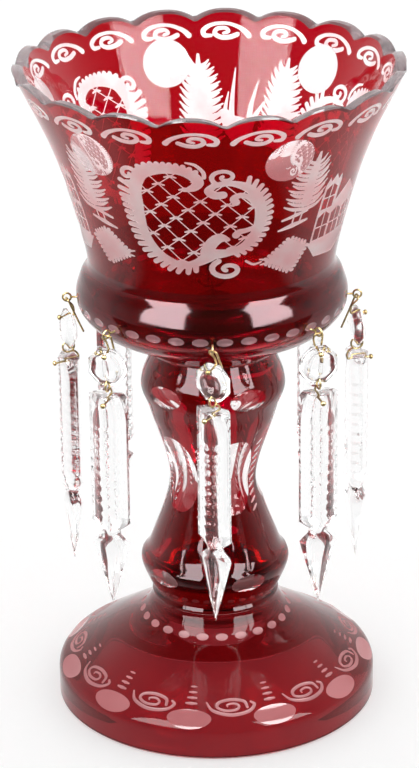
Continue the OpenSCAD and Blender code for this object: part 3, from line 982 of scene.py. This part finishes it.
# Stem
FOOT_NECK_R = 28.5
stem_profile = smooth([
    [FOOT_NECK_R, STEM_LOW + SEAT_GAP],
    [34.2, STEM_LOW + 14.6],
    [29.6, STEM_LOW + 23.8],
    [20.3, STEM_LOW + 56],
    [28.75, STEM_TOP - 30],
    [32.8, STEM_TOP - 16],
    [26.8, STEM_TOP - SEAT_GAP],
], 16)
stem_wall = Wall(stem_profile)
STEM_WALL = 6.0
STEM_END = 8.4
STEM_SIDES = 5
STEM_WINDOW = (9.8, 19.2, 1.7)
UPPER_PUNTY = (9.2, 4.9, 1.1)
LOWER_PUNTY = (8.6, 4.2, 1.0)
WINDOW_Z = STEM_LOW + 62.6
UPPER_PUNTY_Z = STEM_TOP - 15.8
LOWER_PUNTY_Z = STEM_LOW + 13.4
LADDER_Z = STEM_LOW + 44
LADDER_PITCH = 3.7
LADDER_DASHES = 10
STEM_COLUMNS = 120
STEM_ROWS = 74


def decorate_stem(wall):
    """Tall windows at the waist, punties on both knops and a ladder of dashes, on each of the sides."""
    pitch = 360 / STEM_SIDES
    for i in range(STEM_SIDES):
        turn = pitch * i
        wall.grind(*STEM_WINDOW, turn - 48, wall.at_height(WINDOW_Z), power=2.6)
        wall.grind(*UPPER_PUNTY, turn - 42.5, wall.at_height(UPPER_PUNTY_Z))
        wall.grind(*LOWER_PUNTY, turn - 45, wall.at_height(LOWER_PUNTY_Z))
        for k in range(LADDER_DASHES):
            dash_s = wall.at_height(LADDER_Z + LADDER_PITCH * k)
            wall.etch(dash(1.5, 0.75, 0.9), turn - 16, dash_s, reach=5)


def build_stem():
    decorate_stem(stem_wall)
    rows = np.linspace(0, stem_wall.length, STEM_ROWS)
    before = [[0, STEM_LOW + SEAT_GAP]]
    after = [[0, STEM_TOP - SEAT_GAP]]
    stem = turned_piece("ruby_stem", stem_wall, STEM_COLUMNS, rows, before, after)
    dress(stem, stem_ruby, etched, polished, clear, "stem")
    void_low, void_high = STEM_LOW + STEM_END, STEM_TOP - STEM_END
    void = [[r - STEM_WALL, z] for r, z in stem_profile[::-1] if void_low < z < void_high]
    add_inner_shell(stem, [[0, void[0][1]], *void, [0, void[-1][1]]])


def add_inner_shell(piece, rings, columns=96):
    """Adds a sealed hollow to a piece, as a shell that faces inward."""
    angles = np.linspace(-math.pi, math.pi, columns + 1)
    points = np.vstack([round_points(r, angles, z) for r, z in rings]) * MM
    faces = grid_faces(np.arange(len(points)).reshape(len(rings), -1))
    shell = glass_object(piece.name + "_hollow", points, faces, np.full(len(faces), CLEAR))
    for material in piece.data.materials:
        shell.data.materials.append(material)
    join(piece, shell)


def join(piece, *others):
    with bpy.context.temp_override(active_object=piece, selected_editable_objects=[piece, *others]):
        bpy.ops.object.join()


build_stem()


# Foot
FOOT_BAND = 12.0
SHOULDER_R = 7.0
SHOULDER_TURN = 60
FOOT_MID_R = (FOOT_R + FOOT_NECK_R) / 2
EDGE_BEVEL = 1.2
NECK_FLARE = 7.0
shoulder = [
    [FOOT_R - SHOULDER_R * (1 - math.cos(a)), FOOT_BAND + SHOULDER_R * math.sin(a)]
    for a in np.radians(np.linspace(0, SHOULDER_TURN, 13))
]
foot_slope = smooth([
    shoulder[-1],
    [FOOT_MID_R, 30.0],
    [FOOT_NECK_R + NECK_FLARE, FOOT_TOP - 10],
    [FOOT_NECK_R + NECK_FLARE / 6, FOOT_TOP - 10 / 3.5],
    [FOOT_NECK_R, FOOT_TOP - SEAT_GAP],
], 16)
foot_profile = np.vstack([[[FOOT_R, EDGE_BEVEL]], shoulder[:-1], foot_slope])
foot_wall = Wall(foot_profile)
foot_hollow = smooth([
    [69.0, 0.0], [66.0, 6.0], [FOOT_MID_R - 3, 24.0], [25.5, 32.0], [19.5, 39.6], [0.0, 41.6],
], 8)
FOOT_OVALS = 11
FOOT_OVAL = (10.2, 4.9, 0.6)
FOOT_OVAL_TURN = -10.5
FOOT_OVAL_Z = 18.4
FOOT_SCROLL_Z = 21.6
FOOT_DASH_Z = 22.6
FOOT_DASHES = 4
FOOT_DASH_PITCH = 2.9
NECK_OVALS = 24
NECK_OVAL_Z = FOOT_TOP - 8.7
FOOT_COLUMNS = 240
FOOT_ROWS = 52


def decorate_foot(wall):
    """Ovals round the shoulder with scrolls between them and dashes above, and ovals round the neck."""
    pitch = 360 / FOOT_OVALS
    scroll = foot_scroll()
    for i in range(FOOT_OVALS):
        angle = FOOT_OVAL_TURN + pitch * i
        wall.grind(*FOOT_OVAL, angle, wall.at_height(FOOT_OVAL_Z))
        wall.etch(scroll, angle + pitch / 2, wall.at_height(FOOT_SCROLL_Z), reach=14)
        for k in range(FOOT_DASHES):
            dash_s = wall.at_height(FOOT_DASH_Z) + FOOT_DASH_PITCH * k
            wall.etch(dash(2.3 - 0.35 * k, 0.85 - 0.1 * k), angle, dash_s, reach=5)
    for i in range(NECK_OVALS):
        wall.etch(oval(2.8, 1.8), (i + 0.3) * 360 / NECK_OVALS, wall.at_height(NECK_OVAL_Z), reach=6)


def build_foot():
    decorate_foot(foot_wall)
    rows = np.linspace(0, foot_wall.length, FOOT_ROWS)
    before = [list(p) for p in foot_hollow[::-1]] + [[FOOT_R - EDGE_BEVEL, 0.0]]
    after = [[0, FOOT_TOP - SEAT_GAP]]
    foot = turned_piece("ruby_foot", foot_wall, FOOT_COLUMNS, rows, before, after)
    dress(foot, foot_ruby, foot_etched, foot_polished, clear, "foot")


build_foot()


# Joining wafers keep their turned shape and take the stem's ruby
for wafer in ("foot_wafer", "bowl_wafer"):
    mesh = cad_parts[wafer].data
    mesh.materials.clear()
    mesh.materials.append(stem_ruby)


# Drops
DROPS = 8
# How far each drop is turned about its plumb line, in degrees
DROP_TURN = [-36, -28, 14, -12, 8, -18, 20, 26]
WIRE_R = 0.45
EYE_R = 1.85
HANG_R = high_mm("eye_pin_3").x - EYE_R - WIRE_R
HOOK_Z = EYE_Z - (EYE_R - 2 * WIRE_R - 0.25)
HOOK_DROP = 8.6
BUTTON_Z = -14.5
BUTTON_R = 8.5
LINK_R = 2.7
LINK_Z = -23.15
PRISM_TOP = -27.25
PRISM_PIN_Z = PRISM_TOP - 3.2
BALL_R = 1.2
WIRE_SIDES = 12


def rotation(degrees, axis="Z"):
    return Matrix.Rotation(math.radians(degrees), 4, axis)


def tube(path, closed=False):
    """Points and triangles of a round wire along a path."""
    # Any direction will do that no wire starts in
    aslant = [0.3, 0.9, 0.2]
    path = np.asarray(path, float)
    ahead = np.roll(path, -1, 0) - np.roll(path, 1, 0) if closed else np.gradient(path, axis=0)
    ahead /= np.linalg.norm(ahead, axis=1)[:, None]
    side = np.cross(ahead[0], aslant)
    rings = []
    turn = np.arange(WIRE_SIDES) * FULL_TURN / WIRE_SIDES
    for p, t in zip(path, ahead):
        side = side - t * (side @ t)
        side /= np.linalg.norm(side)
        up = np.cross(t, side)
        rings.append(p + WIRE_R * (np.cos(turn)[:, None] * side + np.sin(turn)[:, None] * up))
    points = np.vstack(rings)
    index = np.arange(len(points)).reshape(len(path), WIRE_SIDES)
    index = np.hstack([index, index[:, :1]])
    if closed:
        return points, grid_faces(np.vstack([index, index[:1]]))
    start = np.full(WIRE_SIDES, len(points))
    end = start + 1
    caps = triangles((start, index[0, 1:], index[0, :-1]), (end, index[-1, :-1], index[-1, 1:]))
    return np.vstack([points, path[:1], path[-1:]]), np.concatenate([grid_faces(index), *caps])


def ring_path(centre, radius, count=40):
    a = np.arange(count) * FULL_TURN / count
    return np.column_stack([radius * np.cos(a), np.zeros(count), radius * np.sin(a)]) + centre


def bead(centre):
    """A slightly flattened ball head, turned about the wire's own X axis."""
    flat = 0.8
    steps = np.linspace(0, math.pi, 10)
    a = np.linspace(0, FULL_TURN, 17)
    x = -np.cos(steps)[:, None] * flat * np.ones(a.shape)
    y = np.sin(steps)[:, None] * np.cos(a)
    z = np.sin(steps)[:, None] * np.sin(a)
    points = np.stack([x, y, z], -1).reshape(-1, 3) * BALL_R + centre
    return points, grid_faces(np.arange(len(points)).reshape(x.shape), flipped=True)


def wire_object(name, shells, place, body, node):
    """A piece of brass wire, made of closed shells that meet."""
    points, faces, total = [], [], 0
    for shell_points, shell_faces in shells:
        points.append(shell_points)
        faces.append(shell_faces + total)
        total += len(shell_points)
    mesh, solid = mesh_from(name, np.vstack(points) * MM, np.vstack(faces))
    mesh.polygons.foreach_set("use_smooth", np.ones(int(solid.sum()), bool))
    mesh.transform(place)
    mesh.materials.append(brass_wire)
    piece = linked(name, mesh)
    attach(piece, body)
    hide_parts(node)


def facet_object(name, points, faces, place, body, node):
    """A piece of clear glass with flat polished facets."""
    mesh, _ = mesh_from(name, points * MM, faces)
    mesh.transform(place)
    mesh.materials.append(clear)
    piece = linked(name, mesh)
    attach(piece, body)
    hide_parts(node)


def loft(sections):
    """Triangles between closed sections with the same number of points, with both ends closed."""
    count = len(sections[0])
    points = np.vstack(sections)
    index = np.arange(len(points)).reshape(len(sections), count)
    sides = grid_faces(np.hstack([index, index[:, :1]]), flipped=True)
    middle = np.arange(1, count - 1)
    first_end = np.stack([np.zeros_like(middle), middle, middle + 1], 1)
    last_end = index[-1, 0] + first_end[:, [0, 2, 1]]
    return points, np.concatenate([sides, first_end, last_end])


PRISM_W = 18.0
PRISM_BACK = 3.6
PRISM_RIDGE = 5.4
PRISM_BAR = 61.6
NOTCHES = 10
NOTCH_DEPTH = 1.3
NOTCH_START = 15.0
NOTCH_END = 3.0
BACK_SHARE = 0.68
# The neck and the spearhead: distance below the bar, width, and share of the bar's depth
SPEAR = ((0, PRISM_W, 1), (3.6, 9.0, 0.66), (6.2, 9.0, 0.66), (9.8, 17.6, 0.92), (40.4, 0.3, 0.02))


def prism_section(z, width, deep, notch=0.0):
    """Back corners, side corners and the ridge, which is cut flat where it is notched."""
    back = -PRISM_BACK * deep
    ridge = PRISM_RIDGE * deep
    side = width / 2
    flat = side * notch / ridge
    return np.array([
        [back, -side * BACK_SHARE, z], [0, -side, z], [ridge - notch, -flat, z],
        [ridge - notch, flat, z], [0, side, z], [back, side * BACK_SHARE, z],
    ])


def prism_mesh():
    """A bar with a notched ridge, a neck and a spearhead."""
    sections = [prism_section(0, PRISM_W * 0.93, 0.9), prism_section(-0.7, PRISM_W, 1)]
    pitch = (PRISM_BAR - NOTCH_START - NOTCH_END) / (NOTCHES - 1)
    for i in range(NOTCHES):
        z = -NOTCH_START - pitch * i
        sections += [
            prism_section(z + NOTCH_DEPTH, PRISM_W, 1),
            prism_section(z, PRISM_W, 1, NOTCH_DEPTH),
            prism_section(z - NOTCH_DEPTH, PRISM_W, 1),
        ]
    sections += [prism_section(-PRISM_BAR - below, width, deep) for below, width, deep in SPEAR]
    points, faces = loft(sections)
    return points + [0, 0, PRISM_TOP], faces


def button_mesh():
    """An eight-sided bead with kite facets on both faces."""
    sides = 8
    a = (np.arange(sides) + 0.5) * FULL_TURN / sides
    half = [(3.3, 3.6), (6.3, 2.5), (BUTTON_R / math.cos(math.pi / sides), 0.7)]
    rings = half + [(radius, -x) for radius, x in half[::-1]]
    return loft([
        np.column_stack([np.full(sides, x), radius * np.cos(a), BUTTON_Z + radius * np.sin(a)])
        for radius, x in rings
    ])


def build_drop(k):
    """The five pieces of drop k, from its eye in the bowl to its prism."""
    eye_place = rotation(-90 + 360 / DROPS * (k - 1))
    place = eye_place @ Matrix.Translation((HANG_R * MM, 0, HOOK_Z * MM)) @ rotation(DROP_TURN[k - 1])
    eye_ball = [low_mm("eye_pin_3").x + BALL_R, 0, EYE_Z]
    wire_object(f"eye_wire_{k}", [
        tube([eye_ball, [HANG_R - EYE_R, 0, EYE_Z]]),
        tube(ring_path([HANG_R, 0, EYE_Z], EYE_R), closed=True),
        bead(eye_ball),
    ], eye_place, "root", f"eye_pin_{k}")
    hook_ball = [3.8, 0, -HOOK_DROP]
    hook = smooth([
        hook_ball, [1.5, 0, -HOOK_DROP], [-1.6, 0, -HOOK_DROP], [-3.1, -0.3, -HOOK_DROP + 0.7],
        [-3.0, -1.2, -HOOK_DROP / 2], [-0.6, -1.9, -1.6], [0, -1.3, -0.1], [0, 0, 0.12], [0, 1.3, -0.1],
        [-0.5, 2.0, -1.4], [-3.4, 2.3, -8.5], [-6.6, 2.6, -16.0],
    ], 6)
    hook_shells = [tube(hook), bead(hook_ball)]
    wire_object(f"hook_wire_{k}", hook_shells, place, f"hook_{k}", f"hook_pin_{k}")
    facet_object(f"octagon_bead_{k}", *button_mesh(), place, f"octagon_{k}", f"button_{k}")
    link_ball = [6.7, 0, PRISM_PIN_Z]
    shank = smooth([
        [-1.5, 0, LINK_Z - 2.2], [-3.2, 0, PRISM_TOP + 1.2], [-4.5, 0, PRISM_TOP - 0.6],
        [-4.5, 0, PRISM_PIN_Z + 0.9], [-3.7, 0, PRISM_PIN_Z], [0, 0, PRISM_PIN_Z], link_ball,
    ], 6)
    wire_object(f"link_wire_{k}", [
        tube(ring_path([0, 0, LINK_Z], LINK_R), closed=True), tube(shank), bead(link_ball),
    ], place, f"pendant_{k}", f"link_pin_{k}")
    facet_object(f"spear_prism_{k}", *prism_mesh(), place, f"pendant_{k}", f"prism_{k}")


for k in range(1, DROPS + 1):
    build_drop(k)


# Stage, light and camera
FLOOR_HALF = 8.0
FLOOR_GAP = 0.0002
FLOOR_COLOUR = 0.62
FLOOR_LIFT = 0.41
# How much of the white on the camera's side is missing from reflections, and from what glass turns round
MIRROR_SHADE = 0.92
GLASS_SHADE = 0.35
WHITE_SIDE = (0, 1, -1)
# Where that shade starts and is full: metres on the floor, and the surround's way towards the white side
FLOOR_SHADE = (-0.06, -0.14)
WORLD_SHADE = (0.15, -0.75)


def build_floor():
    """A white floor that glass mirrors as darker on the camera's side."""
    mesh = bpy.data.meshes.new("floor")
    corners = [(x * FLOOR_HALF, y * FLOOR_HALF, 0) for x, y in ((-1, -1), (1, -1), (1, 1), (-1, 1))]
    mesh.from_pydata(corners, [], [(0, 1, 2, 3)])
    floor = linked("floor", mesh)
    floor.location.z = -FLOOR_GAP
    material, graph, shader = new_material("floor")
    rays = graph.nodes.new("ShaderNodeLightPath").outputs
    place = graph.nodes.new("ShaderNodeNewGeometry").outputs["Position"]
    depth = graph.add("ShaderNodeSeparateXYZ", {"Vector": place}).outputs["Y"]
    shade = graph.span(depth, 0.0, MIRROR_SHADE, *FLOOR_SHADE)
    mirrored_ray = graph.combine("GREATER_THAN", rays["Is Glossy Ray"], rays["Is Transmission Ray"])
    white = graph.combine("SUBTRACT", 1.0, graph.combine("MULTIPLY", shade, mirrored_ray))
    seen = rays["Is Camera Ray"]
    for ray in ("Is Transmission Ray", "Is Glossy Ray"):
        seen = graph.combine("MAXIMUM", seen, rays[ray])
    lift = graph.combine("MULTIPLY", seen, white)
    graph.feed(shader, {
        "Roughness": 0.7,
        "Specular IOR Level": 0.1,
        "Base Color": graph.combine("MULTIPLY", white, FLOOR_COLOUR),
        "Emission Color": (1, 1, 1, 1),
        "Emission Strength": graph.combine("MULTIPLY", lift, FLOOR_LIFT),
    })
    mesh.materials.append(material)


def build_world():
    """A white surround that lights evenly; in glass, the camera's side of it is dark, as in a room."""
    world = bpy.data.worlds.new("studio")
    bpy.context.scene.world = world
    graph = Graph(world)
    rays = graph.nodes.new("ShaderNodeLightPath").outputs
    direction = graph.nodes.new("ShaderNodeTexCoord").outputs["Generated"]
    towards_white = graph.add("ShaderNodeVectorMath", {0: direction, 1: WHITE_SIDE})
    towards_white.operation = "DOT_PRODUCT"
    front = graph.span(towards_white.outputs["Value"], 0.0, 1.0, *WORLD_SHADE)
    shade = graph.nodes.new("ShaderNodeMix")
    shade.data_type = "FLOAT"
    graph.feed(shade, {
        "Factor": rays["Is Transmission Ray"],
        "A": graph.combine("MULTIPLY", rays["Is Glossy Ray"], MIRROR_SHADE),
        "B": GLASS_SHADE,
    })
    missing = graph.combine("MULTIPLY", shade.outputs["Result"], front)
    graph.feed(graph.nodes["Background"], {
        "Color": (1, 1, 1, 1), "Strength": graph.combine("SUBTRACT", 1.0, missing),
    })


SOFTBOX_RADIANCE = 16.0
SOFTBOX_DISTANCE = 1.3


def softbox(name, aside, wide, low, high):
    """An upright soft light that shows in polished glass; the surround does the lighting.

    Its place and reach are angles, in degrees, as seen from the middle of the part.
    """
    foot_up, head_up = (SOFTBOX_DISTANCE * math.tan(math.radians(angle)) for angle in (low, high))
    light = bpy.data.lights.new(name, "AREA")
    light.shape = "RECTANGLE"
    light.size = 2 * SOFTBOX_DISTANCE * math.tan(math.radians(wide / 2))
    light.size_y = head_up - foot_up
    light.energy = SOFTBOX_RADIANCE * math.pi * light.size * light.size_y
    lamp = linked(name, light)
    turn = rotation(aside) @ rotation(90, "X")
    place = Matrix.Translation((0, (foot_up + head_up) / 2, SOFTBOX_DISTANCE))
    lamp.matrix_world = Matrix.Translation((cad_low + cad_high) / 2) @ turn @ place
    lamp.visible_diffuse = False


def build_lights():
    softbox("softbox_left", aside=-42, wide=38, low=12, high=58)
    softbox("softbox_right", aside=51, wide=36, low=12, high=58)


# The camera that was fitted to the photo
CAMERA_PLACE = (0, -1.239, 0.6719)
CAMERA_PITCH = 22.73
CAMERA_YAW = 0.075
CAMERA_ROLL = -0.70
FOCAL_PIXELS = 2959
IMAGE_HEIGHT = 768
SENSOR = 24.0


def build_camera():
    data = bpy.data.cameras.new("camera")
    data.sensor_fit = "VERTICAL"
    data.sensor_height = SENSOR
    data.lens = FOCAL_PIXELS * SENSOR / IMAGE_HEIGHT
    camera = linked("camera", data)
    turn = rotation(CAMERA_YAW) @ rotation(90 - CAMERA_PITCH, "X") @ rotation(CAMERA_ROLL)
    camera.matrix_world = Matrix.Translation(CAMERA_PLACE) @ turn
    bpy.context.scene.camera = camera


build_floor()
build_world()
build_lights()
build_camera()
bpy.context.scene.view_settings.view_transform = "Standard"
# Light may turn many times inside a cut prism
bpy.context.scene.cycles.max_bounces = 24
bpy.context.scene.cycles.glossy_bounces = 16
bpy.context.scene.cycles.transmission_bounces = 24

bpy.context.view_layer.update()
